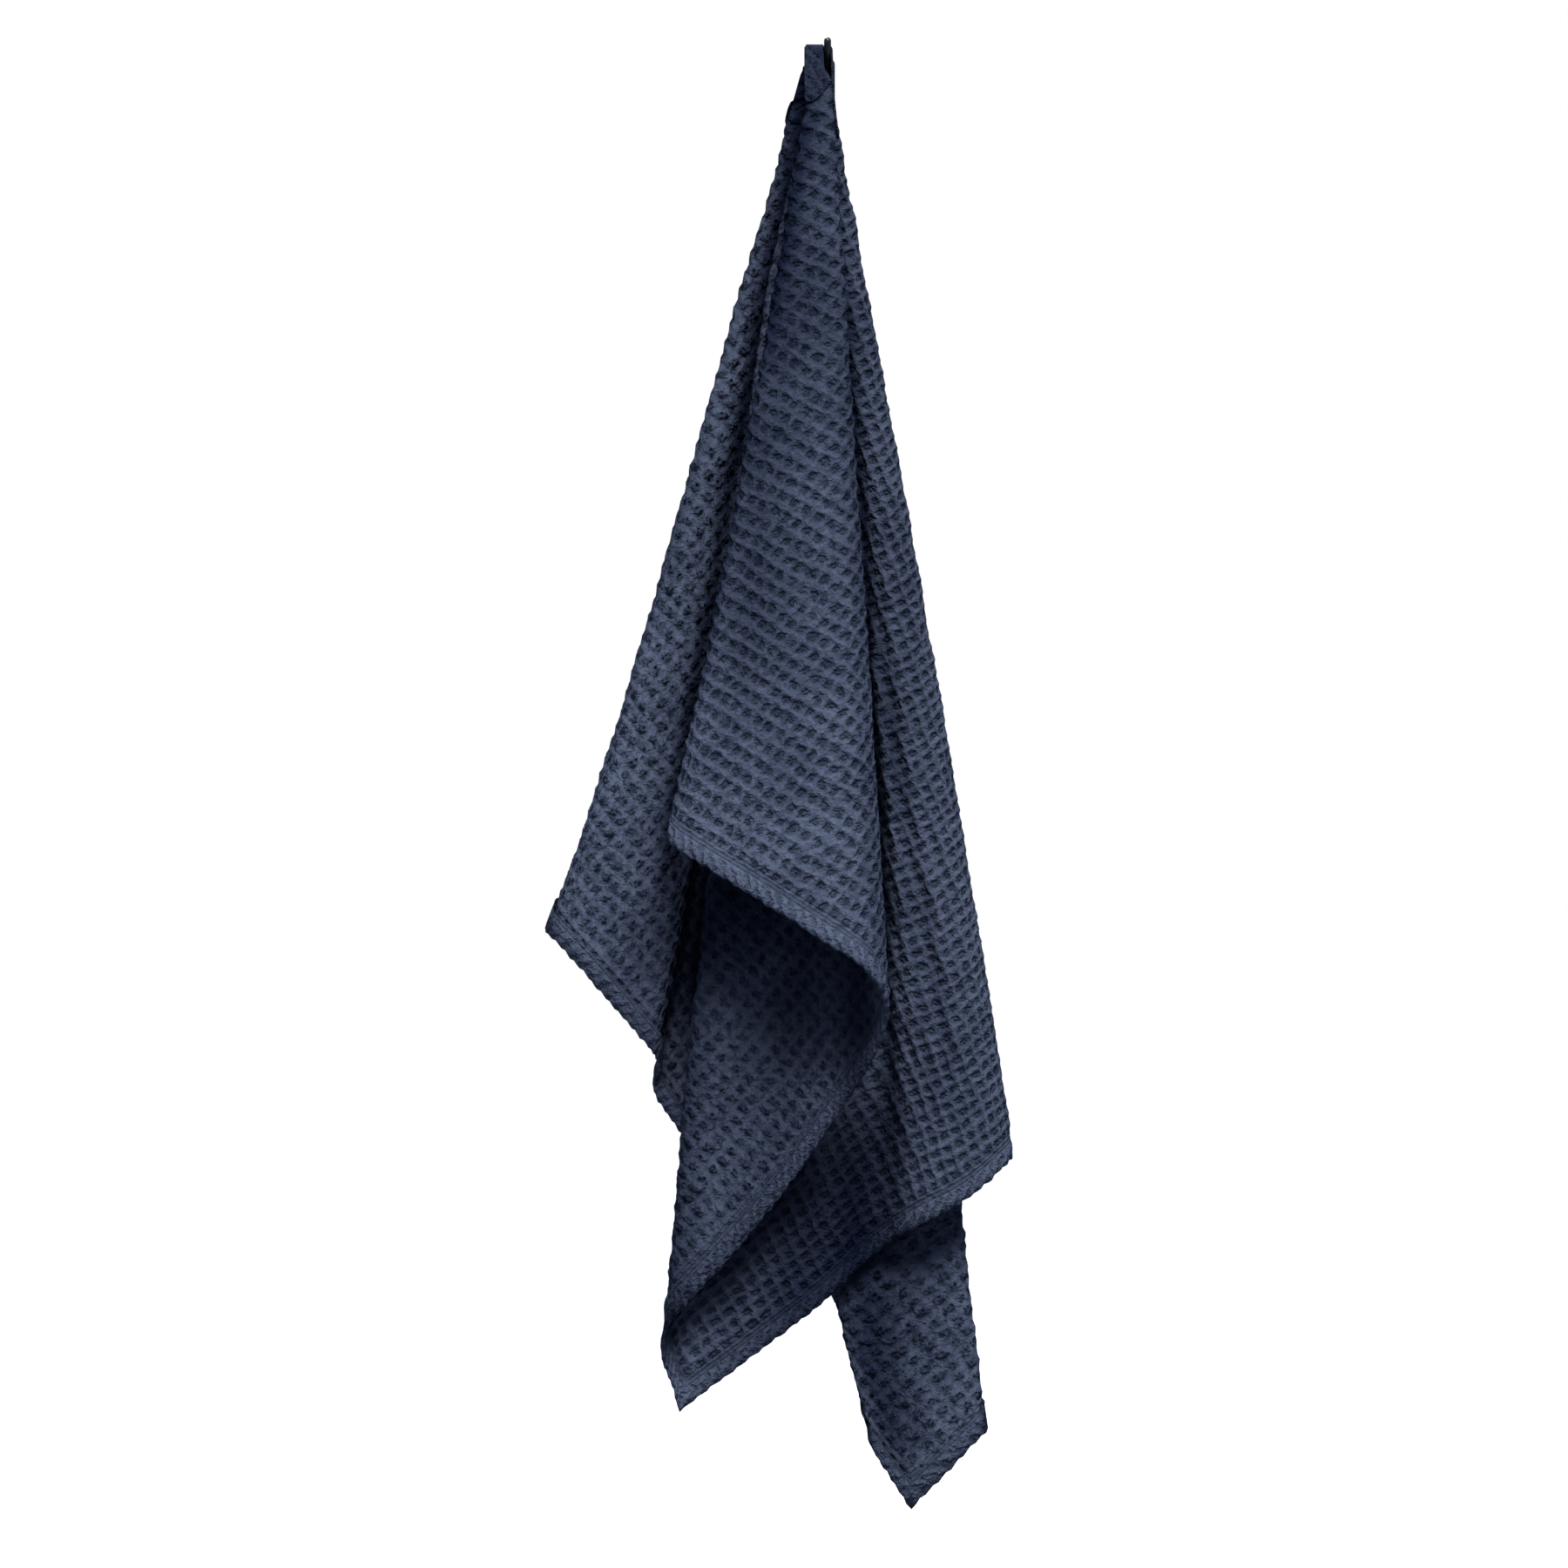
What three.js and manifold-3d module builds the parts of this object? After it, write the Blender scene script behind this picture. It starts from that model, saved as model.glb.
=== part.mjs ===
// A waffle-weave bath towel hung over a sloping peg hook.
// Millimetres, +Z up, +X to the viewer's right, the wall behind at y = 0.
// The origin is the middle of the flat back of the hook's plate.
import * as THREE from 'three';
import { mergeVertices } from 'three/addons/utils/BufferGeometryUtils.js';
import Module from 'manifold-3d';

const wasm = await Module();
wasm.setup();

// Cloth as it is cut and hemmed
const CLOTH_WIDTH = 900;
const CLOTH_LENGTH = 1300;
const CLOTH_THICKNESS = 1.5;
// The towel hangs by a point of one long edge, this far from the edge's near end
const HUNG_AT = 606;

// Hook
const PLATE = { width: 12, height: 48, depth: 4 };
const PEG = { radius: 2.8, rootZ: -4, tipZ: 37.5, tipOut: 47.5 };
const PEG_SIDES = 16;
const ROUND_STEPS = 6;
const PEG_SLOPE = (PEG.tipZ - PEG.rootZ) / (PEG.tipOut - PLATE.depth);

// Where the cloth lies on the peg
const HANGING_Z = 33;
const TOP_OVER_PEG = 4.6;
const BESIDE_PEG = 6;
const SPREAD_BELOW_PEG = 22;
const NECK_DROP = 60;
// The bunch stays left of the peg, though its folds already lean out from the hook:
// it is drawn in from between its left and right lines to the left of the limit
const BUNCH = { left: -15, right: 2.4, leanLeft: -0.29, leanRight: 0.166, limit: -4.6 };

// One row for each fold or bend, from the near end of the top edge round to the far end
// hem: place along the three free edges of the cloth
// side, out: where the hem hangs, to the right of the hook and out from the wall
// neck, neckOut: where the fold starts at the hook
// give: how far the cloth has stretched along the fold
// bow: how far the fold swings to the right
// round: how much of the hem the bend takes up
const FOLD_COLUMNS = ['hem', 'side', 'out', 'neck', 'neckOut', 'give', 'bow', 'round'];
const FOLD_ROWS = [
  [0, 24, 126, -4, 34.6, 0.985, 0, 0], // near end edge
  [118, -63, 112, -8, 34.2, 0.98, 0, 40], // flap belly
  [232, -126, 148, -9, 34.4, 0.99, 4, 18], // centre left back
  [252, -128, 170, -9, 37, 1, 4, 18], // centre left front
  [350, -48, 196, -3.5, 37.2, 1, 0, 45], // centre middle
  [448, 37, 200, 0.7, 37, 1, 0, 28], // centre right front
  [488, 52, 180, 2.4, 34.4, 1, 0, 20], // centre right tip
  [528, 40, 156, 0.7, 31.8, 1.006, 0, 20], // centre right back
  [680, -40, 122, -4, 31.8, 1.014, -3, 60], // inner turn middle
  [812, -128, 134, -8.3, 31.8, 1.012, -8, 20], // corner fold front
  [838, -130, 110, -8.3, 29.2, 1.01, -8, 20], // corner fold back
  [900, -117, 112, -7.6, 29.2, 1.004, -9, 0], // first corner
  [1056, 0, 98, -4, 29.2, 0.99, -6, 40], // hem under the flap
  [1126, 43, 86, -2.6, 29, 0.976, -4, 24], // valley
  [1168, 73, 112, -2.6, 29.4, 0.977, 0, 22], // ridge
  [1225, 110, 112, -2.2, 29.2, 0.982, 4, 30], // right panel
  [1285, 147.5, 98, -2, 29.2, 0.968, 4, 26], // right edge front
  [1350, 144, 26, -2, 16.2, 0.974, 4, 26], // right edge back
  [1590, -97, 22, -8.8, 16.2, 0.998, 0, 22], // pleat 1 back
  [1602, -97, 34, -8.8, 18.8, 0.997, 0, 22], // pleat 1 front
  [1800, 104, 36, -4.6, 18.8, 1, 0, 22], // pleat 2 back
  [1812, 104, 48, -4.6, 21.4, 0.997, 0, 22], // pleat 2 front
  [1914, 8, 48, -8.4, 21.4, 0.99, 0, 22], // pleat 3 back
  [1926, 8, 60, -8.4, 24, 0.99, 0, 22], // pleat 3 front
  [2098, 121, 62, -4.6, 24, 1.018, 3, 24], // tail fold back
  [2118, 126, 84, -4.6, 26.6, 1.017, 3, 22], // tail fold front
  [2200, 66, 86, -4.9, 26.6, 1.023, -22, 0], // second corner
  [2254, 34, 84, -5.4, 26.6, 1.017, -46, 16], // tail left
  [2343, 34, 66, -5.9, 26.6, 1.016, -46, 16], // tail back
  [2406, 0, 62, -6.4, 26.6, 1.004, -30, 20], // back layer
  [2562, -113, 60, -7.8, 26.4, 0.996, 0, 12], // back layer left
  [2618, -141, 56, -8.4, 26.4, 0.991, 4, 12], // notch fold
  [2650, -133, 70, -9, 26.4, 0.994, 5, 12], // notch valley
  [2692, -138, 84, -9.8, 26.4, 1.007, 5, 14], // left panel inner
  [2755, -178, 86, -11.7, 26.6, 0.996, 5, 30], // left panel middle
  [2818, -221, 78, -14.5, 26.6, 0.982, 6, 16], // left edge front
  [2872, -217, 24, -14.5, 13.6, 0.986, 6, 16], // left edge back
  [3100, -34, 13, -1.4, 13.6, 0.986, 0, 0], // far end edge
];
const FOLDS = FOLD_ROWS.map((row) => Object.fromEntries(row.map((value, i) => [FOLD_COLUMNS[i], value])));
// The bow's curve is greatest two thirds of the way down, and is scaled to one there
const BOW_SCALE = 27 / 4;

// Levels down each fold: near the hook as parts of the neck, then as parts of the rest
const NECK_LEVELS = [0, 0.2, 0.42, 0.68, 1];
const FALL_LEVELS = [0.06, 0.16, 0.3, 0.47, 0.65, 0.83, 1];
// A stretch of hem shorter than this is the tip of a pleat
const SHORT_STRETCH = 30;

// The hem band that lies over the bunch and the peg and hangs down on the right
const SADDLE = { thickness: 1.8, front: 37.6, back: 15.4, gap: 0.5, wrap: 0.72 };
// Its left end and its hanging leg seen from the front, in x and z from the peg's centre line
const SADDLE_LEFT = [[-18, -5], [-17.6, 2], [-16, 4], [-7.5, 4]];
const SADDLE_LEG = [[4.7, -14], [6.1, -40], [9.2, -66]];

// The front of the same band, flat over the top of the centre panel
const BAND = { thickness: 1.8, out: 37.4, lean: 0.222 };
const BAND_OUTLINE = [
  [-18.4, 30.5],
  [-16.8, 33],
  [-3.4, 33],
  [-2.6, 16],
  [0.6, 0],
  [-5, -7],
  [-12, -13],
  [-16.6, -12.5],
  [-18.4, -9],
];

// Two parts of a stretch closer than this are one
const TINY = 1e-6;

const smooth = (value) => {
  const t = Math.min(1, Math.max(0, value));
  return t * t * (3 - 2 * t);
};

// Height of the peg's centre line at a distance out from the wall
const pegHeight = (out) => PEG.rootZ + (out - PLATE.depth) * PEG_SLOPE;

// How far the hem is from the hanging point on the flat cloth
function reachOf(hem) {
  const alongEnd = Math.min(hem, CLOTH_WIDTH);
  const alongSide = Math.min(Math.max(hem - CLOTH_WIDTH, 0), CLOTH_LENGTH);
  const backUp = Math.max(hem - CLOTH_WIDTH - CLOTH_LENGTH, 0);
  return Math.hypot(alongSide - HUNG_AT, alongEnd - backUp);
}

// A fold's own line from the hook to the hem, as points at the shared levels
function foldLine(fold) {
  const run = Math.hypot(fold.side - fold.neck, fold.out - fold.neckOut);
  const hemDrop = Math.sqrt((fold.give * reachOf(fold.hem)) ** 2 - run ** 2);
  const topZ = Math.min(HANGING_Z, pegHeight(fold.neckOut) + TOP_OVER_PEG);
  const topDrop = HANGING_Z - topZ;
  const neck = NECK_LEVELS.map((level) => topDrop + (NECK_DROP - topDrop) * level);
  const fall = FALL_LEVELS.map((level) => NECK_DROP + (hemDrop - NECK_DROP) * level);
  return [...neck, ...fall].map((drop) => {
    const part = drop / hemDrop;
    const out = fold.neckOut + (fold.out - fold.neckOut) * part;
    const swing = fold.bow * BOW_SCALE * part * part * (1 - part);
    const side = fold.neck + (fold.side - fold.neck) * part + swing;
    const z = HANGING_Z - drop;
    const below = smooth((pegHeight(out) - BESIDE_PEG - z) / SPREAD_BELOW_PEG);
    const left = BUNCH.left + BUNCH.leanLeft * drop;
    const right = BUNCH.right + BUNCH.leanRight * drop;
    const bunched = left + ((side - left) / (right - left)) * (BUNCH.limit - left);
    return new THREE.Vector3(bunched + (side - bunched) * below, -out, z);
  });
}

// Where the cloth is cut into columns between two folds, as parts of the way;
// here and next are the parts that the two bends take up
function partsBetween(width, here, next) {
  if (width < SHORT_STRETCH) return [0, 0.5];
  const parts = [0];
  if (here > 0) parts.push(here / 2, here);
  if (next > 0 && here + next < 1 - TINY) parts.push(1 - next);
  if (next > 0) parts.push(1 - next / 2);
  return parts;
}

// Weights of the previous, this and next fold line for a column in a rounded bend
function bendWeights(turn, reachBefore, reachAfter) {
  const t = (turn + 1) / 2;
  const before = (1 - t) ** 2 * reachBefore;
  const after = t ** 2 * reachAfter;
  return [before, 1 - before - after, after];
}

// The cloth's middle surface: columns of points from the near end to the far end
function clothColumns() {
  const lines = FOLDS.map(foldLine);
  const hemWidth = lines.slice(1).map((line, i) => line.at(-1).distanceTo(lines[i].at(-1)));
  const share = (bend, stretch) => {
    const width = hemWidth[stretch];
    return width === undefined ? 0 : Math.min(0.5, FOLDS[bend].round / width);
  };
  const blend = (mix) => lines[0].map((_, level) => {
    const point = new THREE.Vector3();
    mix.forEach(([index, weight]) => point.addScaledVector(lines[index][level], weight));
    return point;
  });
  const columns = [];
  hemWidth.forEach((width, i) => {
    const before = share(i, i - 1);
    const here = share(i, i);
    const next = share(i + 1, i);
    const after = share(i + 1, i + 1);
    partsBetween(width, here, next).forEach((part) => {
      if (here > 0 && part <= here + TINY) {
        const [a, b, c] = bendWeights(part / here, before, here);
        columns.push(blend([[i - 1, a], [i, b], [i + 1, c]].filter(([, weight]) => weight !== 0)));
      } else if (next > 0 && part >= 1 - next - TINY) {
        const [a, b, c] = bendWeights(-(1 - part) / next, next, after);
        columns.push(blend([[i, a], [i + 1, b], [i + 2, c]].filter(([, weight]) => weight !== 0)));
      } else {
        columns.push(blend([[i, 1 - part], [i + 1, part]]));
      }
    });
  });
  columns.push(lines.at(-1));
  return columns;
}

// A closed sheet of even thickness about a grid of points
function sheetGeometry(columns, thickness) {
  const last = columns.length - 1;
  const rows = columns[0].length;
  const face = [];
  const back = [];
  columns.forEach((column, i) => column.forEach((point, j) => {
    const across = columns[Math.min(i + 1, last)][j].clone().sub(columns[Math.max(i - 1, 0)][j]);
    const down = column[Math.min(j + 1, rows - 1)].clone().sub(column[Math.max(j - 1, 0)]);
    const half = down.cross(across).setLength(thickness / 2);
    face.push(point.clone().add(half));
    back.push(point.clone().sub(half));
  }));
  const points = [...face, ...back];
  const index = [];
  const quad = (a, b, c, d) => index.push(a, b, c, a, c, d);
  const at = (i, j) => i * rows + j;
  const under = (i, j) => at(i, j) + face.length;
  for (let i = 0; i < last; i += 1) {
    for (let j = 0; j < rows - 1; j += 1) {
      quad(at(i, j), at(i, j + 1), at(i + 1, j + 1), at(i + 1, j));
      quad(under(i, j), under(i + 1, j), under(i + 1, j + 1), under(i, j + 1));
    }
    quad(at(i, 0), at(i + 1, 0), under(i + 1, 0), under(i, 0));
    quad(at(i, rows - 1), under(i, rows - 1), under(i + 1, rows - 1), at(i + 1, rows - 1));
  }
  for (let j = 0; j < rows - 1; j += 1) {
    quad(at(0, j), under(0, j), under(0, j + 1), at(0, j + 1));
    quad(at(last, j), at(last, j + 1), under(last, j + 1), under(last, j));
  }
  const geometry = new THREE.BufferGeometry();
  const flat = points.flatMap((point) => point.toArray());
  geometry.setAttribute('position', new THREE.Float32BufferAttribute(flat, 3));
  geometry.setIndex(index);
  return geometry;
}

// The band's path seen from the front: along the top of the bunch, over the peg, down on the right
function saddlePath() {
  const middle = SADDLE.gap + SADDLE.thickness / 2;
  const half = PEG.radius + middle;
  const height = PEG.radius * Math.hypot(1, PEG_SLOPE) + middle;
  const over = [];
  for (let step = 0; step <= ROUND_STEPS; step += 1) {
    const angle = Math.PI * SADDLE.wrap * (1 - step / ROUND_STEPS);
    over.push([half * Math.cos(angle), height * Math.sin(angle)]);
  }
  return [...SADDLE_LEFT, ...over, ...SADDLE_LEG].map(([x, z]) => new THREE.Vector2(x, z));
}

// The band: its path given a thickness, then drawn out along the peg
function saddleGeometry() {
  const path = saddlePath();
  const offset = (side) => path.map((point, i) => {
    const before = path[Math.max(i - 1, 0)];
    const after = path[Math.min(i + 1, path.length - 1)];
    const along = after.clone().sub(before).normalize();
    const across = new THREE.Vector2(-along.y, along.x);
    return point.clone().addScaledVector(across, (side * SADDLE.thickness) / 2);
  });
  const outline = new THREE.Shape([...offset(1), ...offset(-1).reverse()]);
  const depth = SADDLE.front - SADDLE.back;
  const geometry = new THREE.ExtrudeGeometry(outline, { depth, bevelEnabled: false });
  // The drawing is stood up and drawn out from the wall, rising with the peg
  const rise = new THREE.Matrix4().set(
    1, 0, 0, 0,
    0, 0, -1, -SADDLE.back,
    0, 1, PEG_SLOPE, pegHeight(SADDLE.back),
    0, 0, 0, 1,
  );
  return geometry.applyMatrix4(rise);
}

// The front of the band, leaning as the centre panel does
function bandGeometry() {
  const outline = new THREE.Shape(BAND_OUTLINE.map(([x, z]) => new THREE.Vector2(x, z)));
  const geometry = new THREE.ExtrudeGeometry(outline, { depth: BAND.thickness, bevelEnabled: false });
  const lean = new THREE.Matrix4().set(
    1, 0, 0, 0,
    0, BAND.lean, -1, -BAND.out - BAND.lean * HANGING_Z,
    0, 1, 0, 0,
    0, 0, 0, 1,
  );
  return geometry.applyMatrix4(lean);
}

// A closed mesh as a solid that can be joined to others
function solidOf(geometry) {
  const bare = geometry.clone();
  bare.deleteAttribute('normal');
  bare.deleteAttribute('uv');
  const merged = mergeVertices(bare, 1e-4);
  const index = Uint32Array.from(merged.index.array);
  const solid = new wasm.Mesh({
    numProp: 3,
    vertProperties: Float32Array.from(merged.attributes.position.array),
    triVerts: index,
  });
  return new wasm.Manifold(solid);
}

function geometryOf(solid) {
  const mesh = solid.getMesh();
  const geometry = new THREE.BufferGeometry();
  geometry.setAttribute('position', new THREE.Float32BufferAttribute(mesh.vertProperties, 3));
  geometry.setIndex(Array.from(mesh.triVerts));
  return geometry;
}

function towel() {
  const drape = solidOf(sheetGeometry(clothColumns(), CLOTH_THICKNESS));
  return geometryOf(drape.add(solidOf(saddleGeometry())).add(solidOf(bandGeometry())));
}

function hookPlate() {
  const halfWidth = PLATE.width / 2;
  const straight = PLATE.height / 2 - halfWidth;
  const outline = new THREE.Shape();
  outline.absarc(0, straight, halfWidth, 0, Math.PI, false);
  outline.absarc(0, -straight, halfWidth, Math.PI, 2 * Math.PI, false);
  const settings = { depth: PLATE.depth, bevelEnabled: false, curveSegments: ROUND_STEPS };
  const geometry = new THREE.ExtrudeGeometry(outline, settings);
  return geometry.rotateX(Math.PI / 2);
}

// A round bar sloping up from the plate, with a rounded tip
function hookPeg() {
  const root = new THREE.Vector3(0, -PLATE.depth / 2, pegHeight(PLATE.depth / 2));
  const tip = new THREE.Vector3(0, -PEG.tipOut, PEG.tipZ);
  const length = root.distanceTo(tip);
  const profile = [new THREE.Vector2(0, 0), new THREE.Vector2(PEG.radius, 0)];
  for (let step = 0; step <= ROUND_STEPS; step += 1) {
    const angle = (Math.PI / 2) * (step / ROUND_STEPS);
    const radius = step === ROUND_STEPS ? 0 : PEG.radius * Math.cos(angle);
    profile.push(new THREE.Vector2(radius, length - PEG.radius * (1 - Math.sin(angle))));
  }
  const geometry = new THREE.LatheGeometry(profile, PEG_SIDES);
  const up = new THREE.Vector3(0, 1, 0);
  const turn = new THREE.Quaternion().setFromUnitVectors(up, tip.clone().sub(root).normalize());
  return geometry.applyQuaternion(turn).translate(root.x, root.y, root.z);
}

function hook() {
  return geometryOf(solidOf(hookPlate()).add(solidOf(hookPeg())));
}

function part(name, geometry, color, roughness, metalness) {
  const material = new THREE.MeshStandardMaterial({ color, roughness, metalness });
  const mesh = new THREE.Mesh(geometry, material);
  mesh.name = name;
  return mesh;
}

const group = new THREE.Group();
group.add(part('towel', towel(), 0x3c4658, 0.95, 0));
group.add(part('wall_hook', hook(), 0x17181b, 0.45, 0.4));

export default group;
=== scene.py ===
"""Bath towel of waffle-weave cotton, hung by a point of its long edge over the peg of a wall hook.

Metres, +Z up, +X to the viewer's right, the hook's back at y = 0. The towel is made flat, cell by
cell and with its hems turned, and is then hung in its folds. Cloth and hook sizes are in
millimetres.
"""

import math

import bmesh
import bpy
import numpy as np
from mathutils import Matrix, Vector


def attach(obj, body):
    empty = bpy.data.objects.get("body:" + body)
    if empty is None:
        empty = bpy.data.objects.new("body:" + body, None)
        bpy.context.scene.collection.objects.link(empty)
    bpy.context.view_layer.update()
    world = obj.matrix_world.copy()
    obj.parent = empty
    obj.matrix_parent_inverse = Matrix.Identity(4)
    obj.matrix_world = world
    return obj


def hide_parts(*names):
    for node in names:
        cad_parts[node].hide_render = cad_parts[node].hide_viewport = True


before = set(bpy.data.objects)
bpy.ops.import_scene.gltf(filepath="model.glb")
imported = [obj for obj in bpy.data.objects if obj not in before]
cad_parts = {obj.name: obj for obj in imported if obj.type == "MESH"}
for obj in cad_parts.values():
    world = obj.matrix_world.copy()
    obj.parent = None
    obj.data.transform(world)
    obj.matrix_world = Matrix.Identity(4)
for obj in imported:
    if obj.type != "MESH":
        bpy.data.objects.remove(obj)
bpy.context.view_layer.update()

MM = 0.001
FULL_TURN = 2 * math.pi
TINY = 1e-9

# ---------------------------------------------------------------- sizes

# Cloth as it is cut and hemmed. It hangs by a point of one long edge, NEAR_END from that edge's
# near end.
WIDTH = 900
LENGTH = 1300
NEAR_END = 606
FAR_END = LENGTH - NEAR_END
FREE_EDGES = WIDTH + LENGTH + WIDTH
HEM = 15
HEM_THICKNESS = 2.2
CELLS_ACROSS = 83
CELLS_ALONG = 93
CELL_ACROSS = (WIDTH - 2 * HEM) / CELLS_ACROSS
CELL_ALONG = (LENGTH - 2 * HEM) / CELLS_ALONG
CELL_DEPTH = 1.1

# Hook
PLATE_WIDTH = 12
PLATE_HEIGHT = 48
PLATE_DEPTH = 4
PEG_RADIUS = 2.8
PEG_ROOT_Z = -4
PEG_TIP_Z = 37.5
PEG_TIP_OUT = 47.5
PEG_SLOPE = (PEG_TIP_Z - PEG_ROOT_Z) / (PEG_TIP_OUT - PLATE_DEPTH)

# Where the cloth lies on the peg, and how it is bunched to the left of it
HANGING_Z = 33
TOP_OVER_PEG = 4.6
BESIDE_PEG = 6
SPREAD_BELOW_PEG = 22
NECK_EASE = 120
BUNCH_LEFT = -15
BUNCH_RIGHT = 2.4
BUNCH_LEAN_LEFT = -0.29
BUNCH_LEAN_RIGHT = 0.166
BUNCH_LIMIT = -4.6

# One row for each fold or bend, from the near end of the top edge round to the far end.
# hem: place along the three free edges; side, out: where the hem hangs, to the right of the hook
# and out from its back; neck, neck_out: where the fold starts; give: stretch along the fold;
# bow: widest swing to the right; bend: how much of the hem the bend takes up.
FOLD_COLUMNS = ("hem", "side", "out", "neck", "neck_out", "give", "bow", "bend")
FOLD_ROWS = (
    (0, 24, 126, -4, 34.6, 0.985, 0, 0),  # near end edge
    (118, -63, 112, -8, 34.2, 0.98, 0, 40),  # flap belly
    (232, -126, 148, -9, 34.4, 0.99, 4, 18),  # centre left back
    (252, -128, 170, -9, 37, 1, 4, 18),  # centre left front
    (350, -48, 196, -3.5, 37.2, 1, 0, 45),  # centre middle
    (448, 37, 200, 0.7, 37, 1, 0, 28),  # centre right front
    (488, 52, 180, 2.4, 34.4, 1, 0, 20),  # centre right tip
    (528, 40, 156, 0.7, 31.8, 1.006, 0, 20),  # centre right back
    (680, -40, 122, -4, 31.8, 1.014, -3, 60),  # inner turn middle
    (812, -128, 134, -8.3, 31.8, 1.012, -8, 20),  # corner fold front
    (838, -130, 110, -8.3, 29.2, 1.01, -8, 20),  # corner fold back
    (900, -117, 112, -7.6, 29.2, 1.004, -9, 0),  # first corner
    (1056, 0, 98, -4, 29.2, 0.99, -6, 40),  # hem under the flap
    (1126, 43, 86, -2.6, 29, 0.976, -4, 24),  # valley
    (1168, 73, 112, -2.6, 29.4, 0.977, 0, 22),  # ridge
    (1225, 110, 112, -2.2, 29.2, 0.982, 4, 30),  # right panel
    (1285, 147.5, 98, -2, 29.2, 0.968, 4, 26),  # right edge front
    (1350, 144, 26, -2, 16.2, 0.974, 4, 26),  # right edge back
    (1590, -97, 22, -8.8, 16.2, 0.998, 0, 22),  # pleat 1 back
    (1602, -97, 34, -8.8, 18.8, 0.997, 0, 22),  # pleat 1 front
    (1800, 104, 36, -4.6, 18.8, 1, 0, 22),  # pleat 2 back
    (1812, 104, 48, -4.6, 21.4, 0.997, 0, 22),  # pleat 2 front
    (1914, 8, 48, -8.4, 21.4, 0.99, 0, 22),  # pleat 3 back
    (1926, 8, 60, -8.4, 24, 0.99, 0, 22),  # pleat 3 front
    (2098, 121, 62, -4.6, 24, 1.018, 3, 24),  # tail fold back
    (2118, 126, 84, -4.6, 26.6, 1.017, 3, 22),  # tail fold front
    (2200, 66, 86, -4.9, 26.6, 1.023, -22, 0),  # second corner
    (2254, 34, 84, -5.4, 26.6, 1.017, -46, 16),  # tail left
    (2343, 34, 66, -5.9, 26.6, 1.016, -46, 16),  # tail back
    (2406, 0, 62, -6.4, 26.6, 1.004, -30, 20),  # back layer
    (2562, -113, 60, -7.8, 26.4, 0.996, 0, 12),  # back layer left
    (2618, -141, 56, -8.4, 26.4, 0.991, 4, 12),  # notch fold
    (2650, -133, 70, -9, 26.4, 0.994, 5, 12),  # notch valley
    (2692, -138, 84, -9.8, 26.4, 1.007, 5, 14),  # left panel inner
    (2755, -178, 86, -11.7, 26.6, 0.996, 5, 30),  # left panel middle
    (2818, -221, 78, -14.5, 26.6, 0.982, 6, 16),  # left edge front
    (2872, -217, 24, -14.5, 13.6, 0.986, 6, 16),  # left edge back
    (3100, -34, 13, -1.4, 13.6, 0.986, 0, 0),  # far end edge
)
FOLDS = dict(zip(FOLD_COLUMNS, np.array(FOLD_ROWS, float).T))
LAST_FOLD = len(FOLD_ROWS) - 1

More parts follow.
